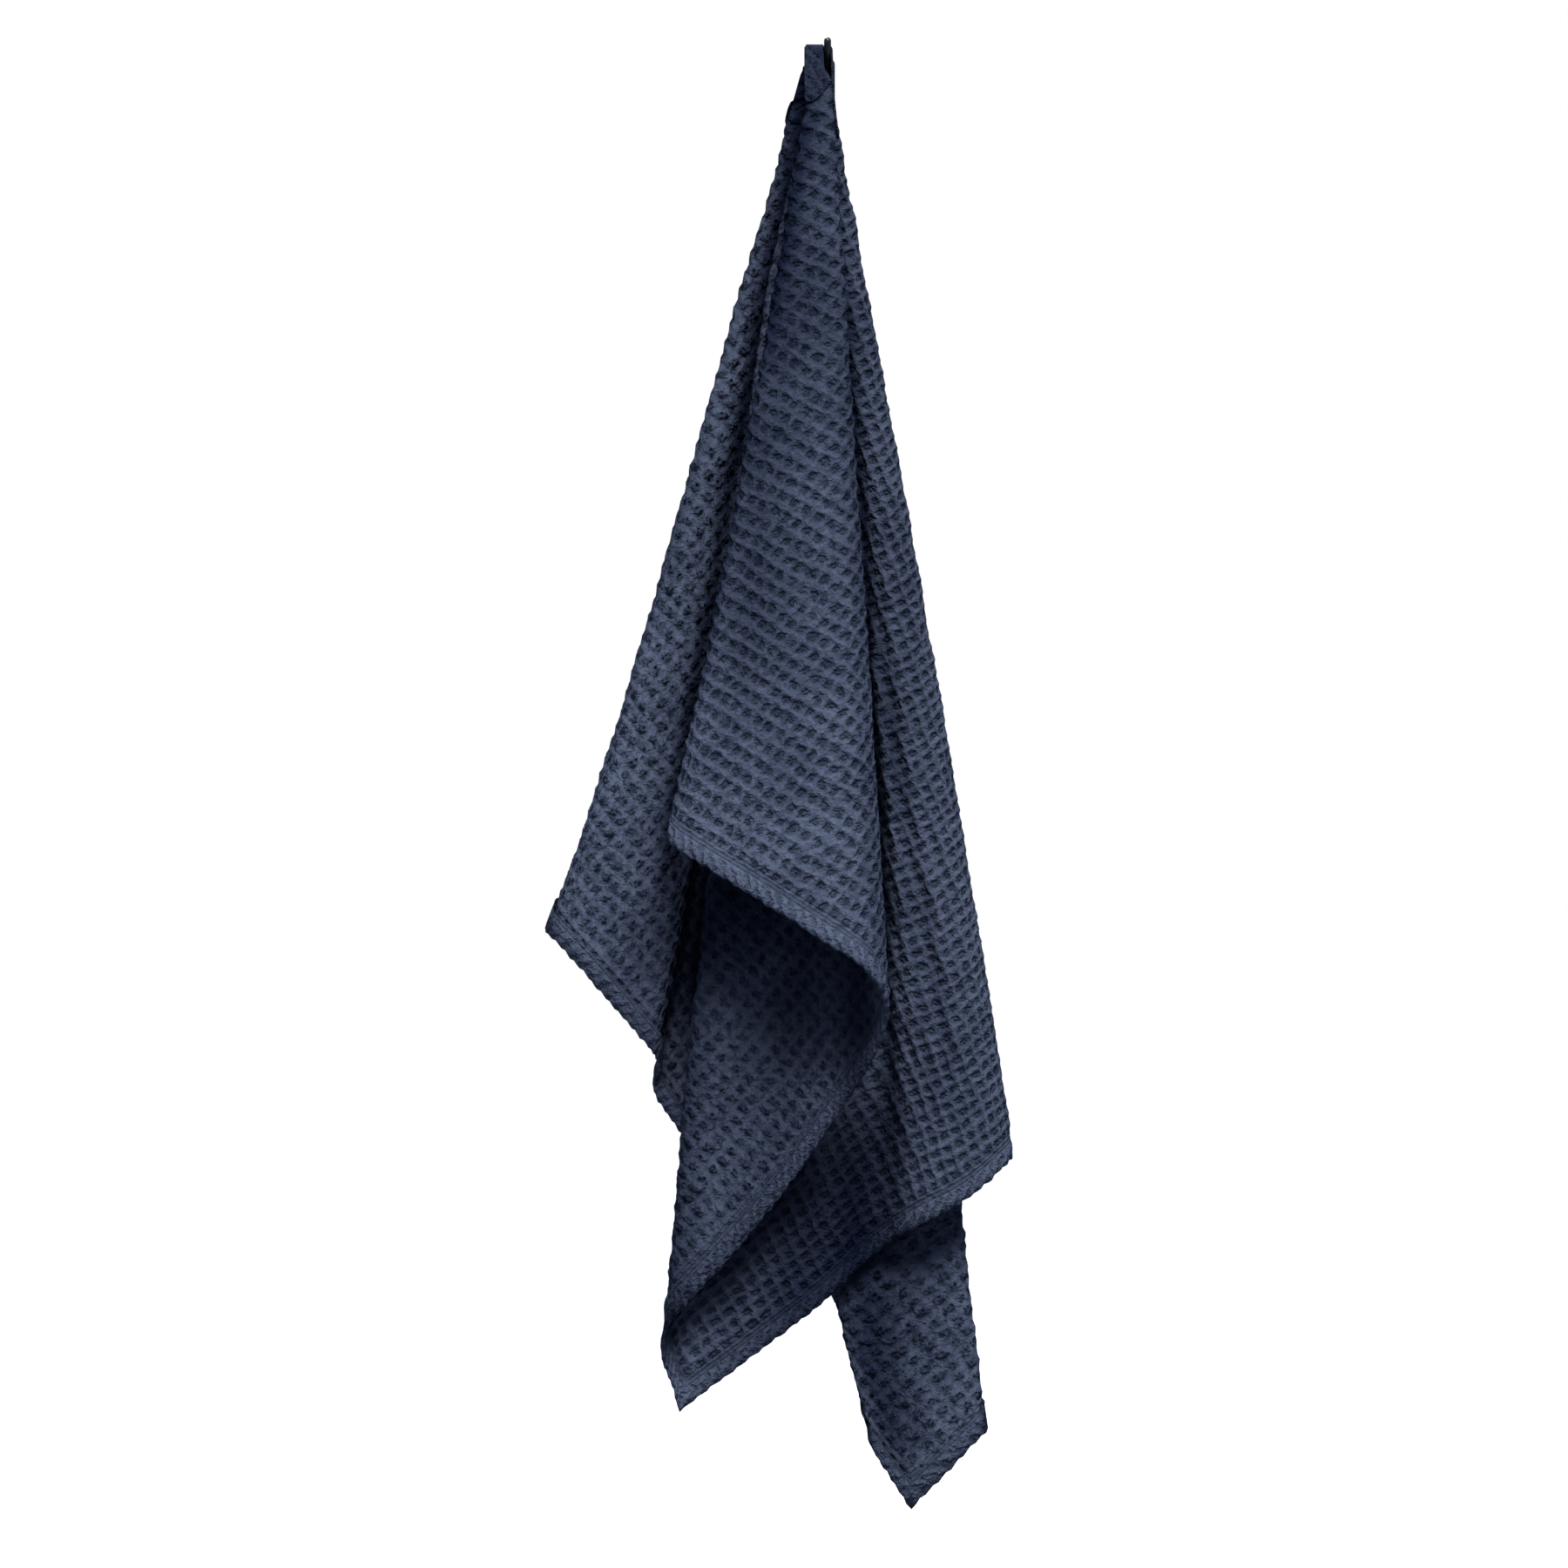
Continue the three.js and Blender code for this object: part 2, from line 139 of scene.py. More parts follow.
# Soft troughs and ridges on the hanging cloth, with painted shade along some of them.
# hem_top, hem_low: the places along the hem that the crease points to at its two ends; start,
# end: how far down the cloth it runs, as a share; wide: half width; rise: height over the
# cloth's face; the last column: the painted shade, how much darker the cloth is painted in it.
# The left panel, the inner turn and the tail show the reverse of the cloth, so a trough there
# rises over the face.
CREASE_COLUMNS = ("hem_top", "hem_low", "start", "end", "wide", "rise", "painted_shade")
CREASE_ROWS = (
    # Deep fold between the left panel and the centre panel: its hollow, then painted shade along
    # its darkest line in three stretches, and in the notch and the gap below it
    (2712, 2700, 0.06, 0.91, 18, 16, 0),
    (2724, 2728, -0.16, 0.60, 12, 0, 0.9),
    (2730, 2720, 0.43, 0.94, 11, 0, 0.72),
    (2722, 2690, 0.74, 0.90, 11, 0, 0.6),
    (2640, 2625, 0.84, 1.30, 13, 0, 0.35),
    (2584, 2574, 0.62, 0.94, 26, 0, 0.86),
    (2692, 2640, 0.72, 0.88, 28, 0, 0.78),
    # Left panel: its crown and the shade on it, and a crease above its hem
    (2790, 2792, 0.20, 0.90, 14, -2.4, 0),
    (2800, 2800, 0.10, 0.66, 30, 0, 0.26),
    (2760, 2740, 0.55, 0.97, 9, 1.6, 0),
    # Deep fold between the centre panel and the right panel: its hollow, painted shade along its
    # darkest line, and the foot of its valley, with painted shade in it
    (1146, 1134, 0.22, 1.02, 15, -8, 0),
    (1160, 1146, 0.06, 0.98, 10, 0, 0.88),
    (1104, 1098, 0.80, 1.25, 22, -3, 0),
    (1100, 1092, 0.81, 1.30, 50, 0, 0.84),
    (1138, 1136, 0.80, 1.30, 15, 0, 0.5),
    # Right panel: three pleat lines and the two troughs between them, with painted shade in the
    # troughs
    (1168, 1187, 0.44, 0.96, 5, 4.2, 0),
    (1160, 1208, 0.46, 0.98, 5.5, 4.0, 0),
    (1190, 1238, 0.38, 0.94, 7, 3.2, 0),
    (1176, 1198, 0.42, 0.97, 5, -3.2, 0.35),
    (1178, 1224, 0.40, 0.96, 6, -2.8, 0.3),
    # Shade of the centre panel: towards the hook and all over, then down its left fold, its left
    # side and its right fold
    (350, 350, -0.30, 0.46, 60, 0, 0.26),
    (350, 350, -0.30, 0.95, 60, 0, 0.22),
    (264, 256, 0.00, 0.42, 9, 0, 0.55),
    (244, 242, 0.00, 0.98, 11, 0, 0.66),
    (300, 290, 0.16, 0.94, 28, 0, 0.4),
    (462, 460, 0.30, 1.10, 18, 0, 0.34),
    # Shade of the right panel, towards the hook and below
    (1222, 1226, -0.20, 0.72, 40, 0, 0.28),
    (1226, 1230, 0.50, 1.30, 45, 0, 0.16),
    # Shade under the flap, then down the inner turn: its right side, its left edge and all of it
    (745, 735, 0.20, 0.79, 60, 0, 0.9),
    (735, 700, 0.55, 0.80, 40, 0, 0.45),
    (650, 608, 0.20, 0.95, 60, 0, 0.84),
    (550, 560, 0.80, 1.14, 36, 0, 0.74),
    (812, 806, 0.56, 1.12, 28, 0, 0.56),
    (700, 710, 0.76, 1.30, 90, 0, 0.36),
    # Shade of the cloth between the first corner and the valley
    (1024, 1024, 0.80, 1.30, 52, 0, 0.66),
    (1075, 1060, 0.88, 1.30, 60, 0, 0.33),
    (950, 950, 0.86, 1.20, 30, 0, 0.32),
    # Shade of the tail and its left edge
    (2160, 2160, 0.80, 0.98, 40, 0, 0.12),
    (2214, 2210, 0.72, 1.01, 36, 0, 0.76),
    # Centre panel: a trough inside its left fold with a little painted shade, a crown near its
    # right fold, and slack across it
    (288, 266, 0.16, 0.90, 16, -2.6, 0.1),
    (412, 440, 0.12, 0.90, 14, 2.0, 0),
    (296, 408, 0.55, 0.66, 10, -2.4, 0),
    # Gathers below the hook
    (340, 330, 0.05, 0.42, 8, -2.2, 0),
    (380, 372, 0.04, 0.30, 7, 1.8, 0),
    (1230, 1250, 0.05, 0.40, 10, -1.8, 0),
    # Slanting creases of the tail
    (2190, 2146, 0.84, 0.99, 6, 1.7, 0),
    (2160, 2124, 0.83, 0.98, 6, 1.4, 0),
    (2218, 2168, 0.88, 1.0, 6, 1.7, 0),
    (2242, 2200, 0.90, 1.0, 7, 1.6, 0),
    (2205, 2156, 0.85, 0.99, 6, -1.6, 0),
    (2176, 2134, 0.83, 0.98, 6, -1.4, 0),
    # Soft trough down the inner turn, and slack beside the first corner
    (714, 774, 0.76, 0.97, 14, 2.2, 0),
    (974, 918, 0.93, 1.0, 9, -2.0, 0),
)

# ---------------------------------------------------------------- the cloth's hang

# A bow's swing is largest two thirds of the way down, where part**2 * (1 - part) is 4 / 27
BOW_SCALE = 27 / 4
# Keeps the hanging point itself, which lies towards no place on the hem, from a division by 0
LEAST_NEAR = 1e-5
# A bend takes up at most this share of the stretch of hem at its side
WIDEST_BEND = 0.5


def smooth(value):
    """0 up to 0, 1 from 1 on, and soft between."""
    held = np.clip(value, 0, 1)
    return held * held * (3 - 2 * held)


def peg_height(out):
    """Height of the peg's centre line at a distance out from the hook's back."""
    return PEG_ROOT_Z + (out - PLATE_DEPTH) * PEG_SLOPE


def hem_reach(hem):
    """How far a place on the hem is from the hanging point on the flat cloth."""
    down = np.minimum(hem, WIDTH) - np.maximum(hem - WIDTH - LENGTH, 0)
    along = np.clip(hem - WIDTH, 0, LENGTH) - NEAR_END
    return np.hypot(along, down)


REACH = hem_reach(FOLDS["hem"])
FOLD_RUN = np.hypot(FOLDS["side"] - FOLDS["neck"], FOLDS["out"] - FOLDS["neck_out"])
HEM_DROP = np.sqrt((FOLDS["give"] * REACH) ** 2 - FOLD_RUN**2)
TOP_DROP = HANGING_Z - np.minimum(HANGING_Z, peg_height(FOLDS["neck_out"]) + TOP_OVER_PEG)


def on_fold(fold, near):
    """Points on the folds' own lines, near being the share of the way from the hook to the hem."""
    f = {name: column[fold] for name, column in FOLDS.items()}
    ease = 1 - smooth(near * REACH[fold] / NECK_EASE)
    drop = near * HEM_DROP[fold] + TOP_DROP[fold] * ease
    part = drop / HEM_DROP[fold]
    out = f["neck_out"] + (f["out"] - f["neck_out"]) * part
    swing = f["bow"] * BOW_SCALE * part**2 * (1 - np.minimum(part, 1))
    side = f["neck"] + (f["side"] - f["neck"]) * part + swing
    z = HANGING_Z - drop
    below = smooth((peg_height(out) - BESIDE_PEG - z) / SPREAD_BELOW_PEG)
    left = BUNCH_LEFT + BUNCH_LEAN_LEFT * drop
    right = BUNCH_RIGHT + BUNCH_LEAN_RIGHT * drop
    bunched = left + (side - left) / (right - left) * (BUNCH_LIMIT - left)
    return np.stack([bunched + (side - bunched) * below, -out, z], axis=-1)


HEM_ENDS = on_fold(np.arange(LAST_FOLD + 1), np.ones(LAST_FOLD + 1))
STRETCH = np.linalg.norm(np.diff(HEM_ENDS, axis=0), axis=1)


def bend_share(fold, stretch):
    """How much of a stretch of hem a fold's bend takes up."""
    inside = (stretch >= 0) & (stretch < LAST_FOLD)
    width = STRETCH[np.clip(stretch, 0, LAST_FOLD - 1)]
    share = np.minimum(WIDEST_BEND, FOLDS["bend"][np.clip(fold, 0, LAST_FOLD)] / width)
    return np.where(inside, share, 0)


def polar(across, along):
    """The place on the hem that a point of the flat cloth lies towards, and its nearness to it."""
    shares = np.stack([across / WIDTH, -along / NEAR_END, along / FAR_END])
    near = np.maximum(shares.max(axis=0), LEAST_NEAR)
    towards_long_edge = shares[0] >= near
    hem_across, hem_along = across / near, along / near
    at_ends = np.where(along < 0, hem_across, FREE_EDGES - hem_across)
    hem = np.where(towards_long_edge, WIDTH + NEAR_END + hem_along, at_ends)
    return np.clip(hem, 0, FREE_EDGES), near


def hang(across, along):
    """Where the points of the flat cloth hang: between two folds, or in the bend round one."""
    hem, near = polar(across, along)
    stretch = np.clip(np.searchsorted(FOLDS["hem"], hem, side="right") - 1, 0, LAST_FOLD - 1)
    part = (hem - FOLDS["hem"][stretch]) / np.diff(FOLDS["hem"])[stretch]
    here, following = bend_share(stretch, stretch), bend_share(stretch + 1, stretch)
    in_this = (here > 0) & (part <= here)
    in_next = (following > 0) & (part >= 1 - following)
    from_this = part / np.maximum(here, TINY)
    from_next = -(1 - part) / np.maximum(following, TINY)
    # How far round the bend, and how far the bend reaches into the stretches beside it
    half = (np.where(in_this, from_this, from_next) + 1) / 2
    reach_before = np.where(in_this, bend_share(stretch, stretch - 1), following)
    reach_after = np.where(in_this, here, bend_share(stretch + 1, stretch + 1))
    bending = in_this | in_next
    before = np.where(bending, (1 - half) ** 2 * reach_before, 0)
    after = np.where(bending, half**2 * reach_after, part)
    middle = np.where(in_this, stretch, np.where(in_next, stretch + 1, stretch))
    place = on_fold(middle, near) * (1 - before - after)[:, None]
    place += on_fold(np.maximum(middle - 1, 0), near) * before[:, None]
    place += on_fold(np.minimum(middle + 1, LAST_FOLD), near) * after[:, None]
    return place


# ---------------------------------------------------------------- the cloth's surface

# Soft random waves: strength, size from crest to crest, and seed
CELL_WAVES = ((0.4, 26, 11), (0.3, 9, 12))
CRINKLE_WAVES = ((0.9, 48, 13), (0.6, 15, 14))
STITCH_WAVES = ((0.7, 7, 15),)
SWAY_ACROSS_WAVES = ((2.6, 70, 21), (1.1, 30, 22))
SWAY_ALONG_WAVES = ((2.6, 70, 23), (1.1, 30, 24))
# Waves are counted from here, so that no place on the cloth has a count below 0
WAVE_START = 40

# The cells are counted a little on, so that both faces of the cloth look alike
CELL_START = 1 / 12
# The ribs run along the cloth, and the ridges across it are the stronger
RIB_HEIGHT = 0.4
RIDGE_HEIGHT = 0.6
STITCH_PULL = 0.6
BAND_HEIGHT = 0.5
BAND_GATHER = 1.0
SCALLOP = 1.2
# A crease fades in and out over this part of its run at each end
CREASE_FADE = 1 / 4

# How far in from an edge, or from where it starts, each thing eases
CELLS_EASE = 6
BAND_EASE = 4
SWAY_EASE = 60
# The cloth's own relief starts this far from the hanging point
RELIEF_START = 20
RELIEF_EASE = 60
# Half the distance over which the way that the cloth faces is measured
FACE_REACH = 1.5


def unevenness(across, along, waves):
    """The sum of some soft random waves, each from minus its strength to its strength."""
    total = 0
    for strength, size, seed in waves:
        x, y = across / size + WAVE_START, along / size + WAVE_START
        shape = (int(x.max()) + 2, int(y.max()) + 2)
        values = np.random.default_rng(seed).uniform(-1, 1, shape)
        i, j = x.astype(int), y.astype(int)
        s, t = smooth(x - i), smooth(y - j)
        low = values[i, j] * (1 - t) + values[i, j + 1] * t
        high = values[i + 1, j] * (1 - t) + values[i + 1, j + 1] * t
        total = total + strength * (low * (1 - s) + high * s)
    return total


def creases(across, along):
    """The creases' rise over the cloth, and the painted shade in them."""
    hem, near = polar(across, along)
    rise, light = np.zeros_like(near), np.ones_like(near)
    for row in CREASE_ROWS:
        crease = dict(zip(CREASE_COLUMNS, row))
        part = (near - crease["start"]) / (crease["end"] - crease["start"])
        turn = crease["hem_low"] - crease["hem_top"]
        centre = crease["hem_top"] + turn * np.clip(part, 0, 1)
        away = (hem - centre) * near / crease["wide"]
        ends = smooth(part / CREASE_FADE) * smooth((1 - part) / CREASE_FADE)
        share = np.exp(-(away**2)) * ends
        rise += crease["rise"] * share
        light *= 1 - crease["painted_shade"] * share
    return rise, 1 - light


def long_edge_distance(across):
    return np.minimum(across, WIDTH - across)


def end_distance(along):
    return np.minimum(along + NEAR_END, FAR_END - along)


def edge_distance(across, along):
    """Distance from the nearest edge of the flat cloth."""
    return np.minimum(long_edge_distance(across), end_distance(along))


def by_end(across, along):
    """Whether the nearest edge is one of the two short ends."""
    return end_distance(along) < long_edge_distance(across)


def cell_phase(across, along):
    """Waffle cells counted along both weave directions."""
    a = (across - HEM) / CELL_ACROSS + CELL_START
    b = (along + NEAR_END - HEM) / CELL_ALONG + CELL_START
    return a, b


def pucker(across, along):
    """Pull of the stitching along the hem, one to a cell and a little uneven."""
    a, b = cell_phase(across, along)
    drawn = np.cos(FULL_TURN * np.where(by_end(across, along), a, b))
    return STITCH_PULL * drawn + unevenness(across, along, STITCH_WAVES)


def relief(across, along):
    """Height of the waffle cells, the hem band and the small crinkles over the cloth."""
    edge = edge_distance(across, along)
    a, b = cell_phase(across, along)
    waves = RIB_HEIGHT * np.cos(FULL_TURN * a) + RIDGE_HEIGHT * np.cos(FULL_TURN * b)
    uneven = 1 + unevenness(across, along, CELL_WAVES)
    cells = CELL_DEPTH * waves * uneven * smooth((edge - HEM) / CELLS_EASE)
    band = smooth(edge / BAND_EASE) * (1 - smooth((edge - HEM + BAND_EASE) / BAND_EASE))
    gathered = BAND_HEIGHT + BAND_GATHER * pucker(across, along)
    return cells + band * gathered + unevenness(across, along, CRINKLE_WAVES)


def hung_places(across, along, lift):
    """Where flat points hang, lifted off the cloth's middle by their own lift and its relief."""
    edge = edge_distance(across, along)
    inner = smooth(edge / SWAY_EASE)
    sway_across = unevenness(across, along, SWAY_ACROSS_WAVES) * inner
    sway_along = unevenness(across, along, SWAY_ALONG_WAVES) * inner
    # The hem's outline goes in and out with the stitching
    scallop = SCALLOP * pucker(across, along) * smooth(1 - edge / HEM)
    ends = by_end(across, along)
    outward_across = np.where(ends, 0, np.sign(across - WIDTH / 2))
    outward_along = np.where(ends, np.sign(along + NEAR_END - LENGTH / 2), 0)
    a = across + sway_across + scallop * outward_across
    b = along + sway_along + scallop * outward_along
    over = hang(a + FACE_REACH, b) - hang(a - FACE_REACH, b)
    up = hang(a, b + FACE_REACH) - hang(a, b - FACE_REACH)
    face = np.cross(over, up)
    face /= np.maximum(np.linalg.norm(face, axis=1), TINY)[:, None]
    free = smooth((np.hypot(across, along) - RELIEF_START) / RELIEF_EASE)
    height = lift + (relief(across, along) + creases(across, along)[0]) * free
    return hang(a, b) + face * height[:, None]


# ---------------------------------------------------------------- making pieces

BEVEL = {"profile": 0.5, "affect": "EDGES", "material": -1}


def piece_of(name, bm, finish):
    """A finished object from a bmesh, with smooth faces."""
    for face in bm.faces:
        face.smooth = True
    mesh = bpy.data.meshes.new(name)
    bm.to_mesh(mesh)
    bm.free()
    mesh.materials.append(finish)
    made = bpy.data.objects.new(name, mesh)
    bpy.context.scene.collection.objects.link(made)
    return made


def made_parts(made, kind):
    """The vertices or edges among what an operator has made."""
    return [part for part in made["geom"] if isinstance(part, kind)]


LINES_IN_HEM = 3
LINES_IN_CELL = 3
# Round the hanging point the flat cloth is made twice as fine, and twice again
FINER_WITHIN = (75, 32)
# The hem's rounded edge in two steps, then its turned half, which ends in the stitch line: how far
# out from the cut edge, and how far up in hem thicknesses
HEM_TURNS = ((0.5, -0.5), (0, -1), (-0.5 - HEM, 0.35))
# A point this near to a cut edge is on it
AT_EDGE = 2


def ruled(total, cells):
    """Lines across the flat cloth, in each hem band and in each cell."""
    band = np.arange(LINES_IN_HEM) * HEM / LINES_IN_HEM
    inner = np.linspace(HEM, total - HEM, LINES_IN_CELL * cells + 1)
    return np.concatenate([band, inner, total - band[::-1]])


def turn_hem(bm):
    """Turns the hem under, all the way round the flat cloth."""
    edge_loop = [edge for edge in bm.edges if edge.is_boundary]
    for out, lift in HEM_TURNS:
        made = bmesh.ops.extrude_edge_only(bm, edges=edge_loop)
        edge_loop = made_parts(made, bmesh.types.BMEdge)
        for vert in made_parts(made, bmesh.types.BMVert):
            x, y, z = vert.co
            if out >= 0:
                x += out * ((x > WIDTH - AT_EDGE) - (x < AT_EDGE))
                y += out * ((y > FAR_END - AT_EDGE) - (y < AT_EDGE - NEAR_END))
            else:
                x = min(max(x, -out), WIDTH + out)
                y = min(max(y, -out - NEAR_END), FAR_END + out)
            vert.co = (x, y, z + lift * HEM_THICKNESS)


def flat_towel():
    """The towel laid flat in millimetres: across on X, along on Y, its face up, its hems under."""
    across, along = ruled(WIDTH, CELLS_ACROSS), ruled(LENGTH, CELLS_ALONG) - NEAR_END
    columns, rows = len(across) - 1, len(along) - 1
    bm = bmesh.new()
    bmesh.ops.create_grid(bm, x_segments=columns, y_segments=rows, size=1)
    for vert in bm.verts:
        i = round((vert.co.x + 1) / 2 * columns)
        j = round((vert.co.y + 1) / 2 * rows)
        vert.co = (across[i], along[j], 0)
    for reach in FINER_WITHIN:
        close = {vert for vert in bm.verts if math.hypot(vert.co.x, vert.co.y) < reach}
        edges = [edge for edge in bm.edges if close.issuperset(edge.verts)]
        bmesh.ops.subdivide_edges(bm, edges=edges, cuts=1, use_grid_fill=True)
    turn_hem(bm)
    return bm


def hung_towel(bm):
    """Hangs the flat towel: the weave's places and the painted shade stay on the points, which
    move.
    """
    weave = bm.verts.layers.float_vector.new("weave")
    painted_shade = bm.verts.layers.float.new("painted_shade")
    across, along, lift = np.array([vert.co for vert in bm.verts]).T
    counts = np.stack([*cell_phase(across, along), edge_distance(across, along)], axis=1)
    shades = creases(across, along)[1]
    places = hung_places(across, along, lift) * MM
    for vert, place, count, shade in zip(bm.verts, places, counts, shades):
        vert[weave] = count
        vert[painted_shade] = shade
        vert.co = place
    return bm


# The hem band that lies over the peg. Its finish takes it to be BAND_EDGE in from the cloth's edge.
BAND_THICKNESS = 1.8
# Painted shade over the whole band, the same on each of its points
BAND_PAINTED_SHADE = 0.75
BAND_EDGE = 6
# Seen from the front, its left end and its hanging leg, in x and z from the peg's centre line, and
# the turn between them, as a share of half a circle. A slight ripple runs along it.
SADDLE_FRONT = 37.6
SADDLE_BACK = 15.4
SADDLE_GAP = 0.5
SADDLE_WRAP = 0.72
SADDLE_TURNS = 12
SADDLE_STEPS = 60
SADDLE_LANES = 8
SADDLE_RIPPLE = 0.25
RIPPLE_PITCH = 0.9
RIPPLE_SLANT = 3
SADDLE_LEFT = ((-18, -5), (-17.9, -1), (-17.5, 2), (-16.6, 3.6), (-15, 4), (-11, 4.1), (-7.5, 4))
SADDLE_LEG = ((4.3, -4), (4.7, -14), (5.3, -27), (6.1, -40), (7.5, -53), (9.2, -66))


def saddle_path():
    """The band's middle line over the peg, in x and z from the peg's centre line."""
    clear = SADDLE_GAP + BAND_THICKNESS / 2
    half = PEG_RADIUS + clear
    height = PEG_RADIUS * math.hypot(1, PEG_SLOPE) + clear
    steps = range(SADDLE_TURNS + 1)
    turns = [math.pi * SADDLE_WRAP * (1 - step / SADDLE_TURNS) for step in steps]
    over = [(half * math.cos(turn), height * math.sin(turn)) for turn in turns]
    return np.array([*SADDLE_LEFT, *over, *SADDLE_LEG])


def add_saddle(bm):
    """The hem band that lies over the bunch and the peg and hangs down on the right."""
    weave, painted_shade = bm.verts.layers.float_vector["weave"], bm.verts.layers.float["painted_shade"]
    path = saddle_path()
    travel = np.concatenate([[0], np.cumsum(np.linalg.norm(np.diff(path, axis=0), axis=1))])
    made = bmesh.ops.create_grid(bm, x_segments=SADDLE_STEPS, y_segments=SADDLE_LANES, size=1)
    for vert in made["verts"]:
        at = (vert.co.x + 1) / 2 * travel[-1]
        lane = (vert.co.y + 1) / 2
        out = SADDLE_BACK + (SADDLE_FRONT - SADDLE_BACK) * lane
        x, z = np.interp(at, travel, path[:, 0]), np.interp(at, travel, path[:, 1])
        ripple = SADDLE_RIPPLE * math.sin(at * RIPPLE_PITCH + RIPPLE_SLANT * lane)
        vert.co = Vector((x, -out, z + peg_height(out) + ripple)) * MM
        vert[weave] = (at / CELL_ACROSS, lane, BAND_EDGE)
        # The band's painted shade
        vert[painted_shade] = BAND_PAINTED_SHADE
    faces = list({face for vert in made["verts"] for face in vert.link_faces})
    bmesh.ops.recalc_face_normals(bm, faces=faces)
    bmesh.ops.solidify(bm, geom=faces, thickness=BAND_THICKNESS * MM)


# The front of the band, in x and z, and how it leans out from the peg's top
BAND_OUT = 37.4
BAND_LEAN = 0.222
BAND_ROUNDING = 0.6
BAND_OUTLINE = (
    (-18.4, 30.5),
    (-16.8, 33),
    (-3.4, 33),
    (-2.6, 16),
    (0.6, 0),
    (-5, -7),
    (-12, -13),
    (-16.6, -12.5),
    (-18.4, -9),
)


def add_band(bm):
    """The front of the band, flat over the top of the centre panel."""
    weave, painted_shade = bm.verts.layers.float_vector["weave"], bm.verts.layers.float["painted_shade"]
    verts = []
    for x, z in BAND_OUTLINE:
        out = BAND_OUT + BAND_LEAN * (HANGING_Z - z)
        vert = bm.verts.new(Vector((x, -out, z)) * MM)
        vert[weave] = (x / CELL_ACROSS, z / CELL_ALONG, BAND_EDGE)
        # The band's painted shade
        vert[painted_shade] = BAND_PAINTED_SHADE
        verts.append(vert)
    front = bm.faces.new(verts)
    front.normal_update()
    made = bmesh.ops.extrude_face_region(bm, geom=[front])
    moved = made_parts(made, bmesh.types.BMVert)
    bmesh.ops.translate(bm, vec=(0, -BAND_THICKNESS * MM, 0), verts=moved)
    rim = made_parts(made, bmesh.types.BMEdge)
    bmesh.ops.bevel(bm, geom=rim, offset=BAND_ROUNDING * MM, segments=3, **BEVEL)


# The plate's round ends and rounded front edge, and the peg's collar: how much wider than the peg
# it is, and how far out along it
PLATE_END_ROUNDING = PLATE_WIDTH / 2 - 0.05
PLATE_RIM_ROUNDING = 0.9
PLATE_FRONT = 0.9 * PLATE_DEPTH
COLLAR = ((1.3, 0), (1.1, 2.6), (0.35, 3.6), (0, 5))
TIP_STEPS = 7
PEG_SIDES = 32
SAME_PLACE = 0.01


def plate(bm):
    """The hook's back plate."""
    size = Matrix.Diagonal((PLATE_WIDTH * MM, PLATE_DEPTH * MM, PLATE_HEIGHT * MM, 1))
    middle = Matrix.Translation((0, -PLATE_DEPTH * MM / 2, 0))
    bmesh.ops.create_cube(bm, size=1, matrix=middle @ size)
    ends = [e for e in bm.edges if abs(e.verts[0].co.y - e.verts[1].co.y) > MM]
    bmesh.ops.bevel(bm, geom=ends, offset=PLATE_END_ROUNDING * MM, segments=12, **BEVEL)
    rim = [e for e in bm.edges if all(v.co.y < -PLATE_FRONT * MM for v in e.verts)]
    rim = [e for e in rim if any(abs(f.normal.y) < 0.5 for f in e.link_faces)]
    bmesh.ops.bevel(bm, geom=rim, offset=PLATE_RIM_ROUNDING * MM, segments=4, **BEVEL)


def peg_profile(reach):
    """Half the peg's outline from its root to its rounded tip: radius, and how far along."""
    profile = [(PEG_RADIUS + wider, along) for wider, along in COLLAR]
    profile.append((PEG_RADIUS, reach - PEG_RADIUS))
    for step in range(1, TIP_STEPS):
        turn = math.pi / 2 * step / TIP_STEPS
        tip = reach - PEG_RADIUS * (1 - math.sin(turn))
        profile.append((PEG_RADIUS * math.cos(turn), tip))
    profile.append((0, reach))
    return profile


def hook_piece(finish):
    """A slim plate with round ends, and a round peg that slopes up from it to a rounded tip."""
    bm = bmesh.new()
    plate(bm)
    plate_verts = set(bm.verts)
    root = Vector((0, -PLATE_DEPTH / 2, peg_height(PLATE_DEPTH / 2))) * MM
    tip = Vector((0, -PEG_TIP_OUT, PEG_TIP_Z)) * MM
    profile = peg_profile((tip - root).length / MM)
    verts = [bm.verts.new((x * MM, 0, z * MM)) for x, z in profile]
    chain = [bm.edges.new(pair) for pair in zip(verts, verts[1:])]
    circle = {"axis": (0, 0, 1), "cent": (0, 0, 0), "angle": FULL_TURN, "steps": PEG_SIDES}
    bmesh.ops.spin(bm, geom=verts + chain, use_merge=True, **circle)
    peg = [vert for vert in bm.verts if vert not in plate_verts]
    lean = Vector((0, 0, 1)).rotation_difference(tip - root).to_matrix().to_4x4()
    bmesh.ops.transform(bm, matrix=Matrix.Translation(root) @ lean, verts=peg)
    bmesh.ops.remove_doubles(bm, verts=bm.verts, dist=SAME_PLACE * MM)
    bmesh.ops.recalc_face_normals(bm, faces=bm.faces)
    return piece_of("hook", bm, finish)


# ---------------------------------------------------------------- finishes

# Sockets of the Mix node that share their names with others of it
MIX_SHARE, MIX_FIRST, MIX_SECOND, MIX_COLOUR = 0, 6, 7, 2


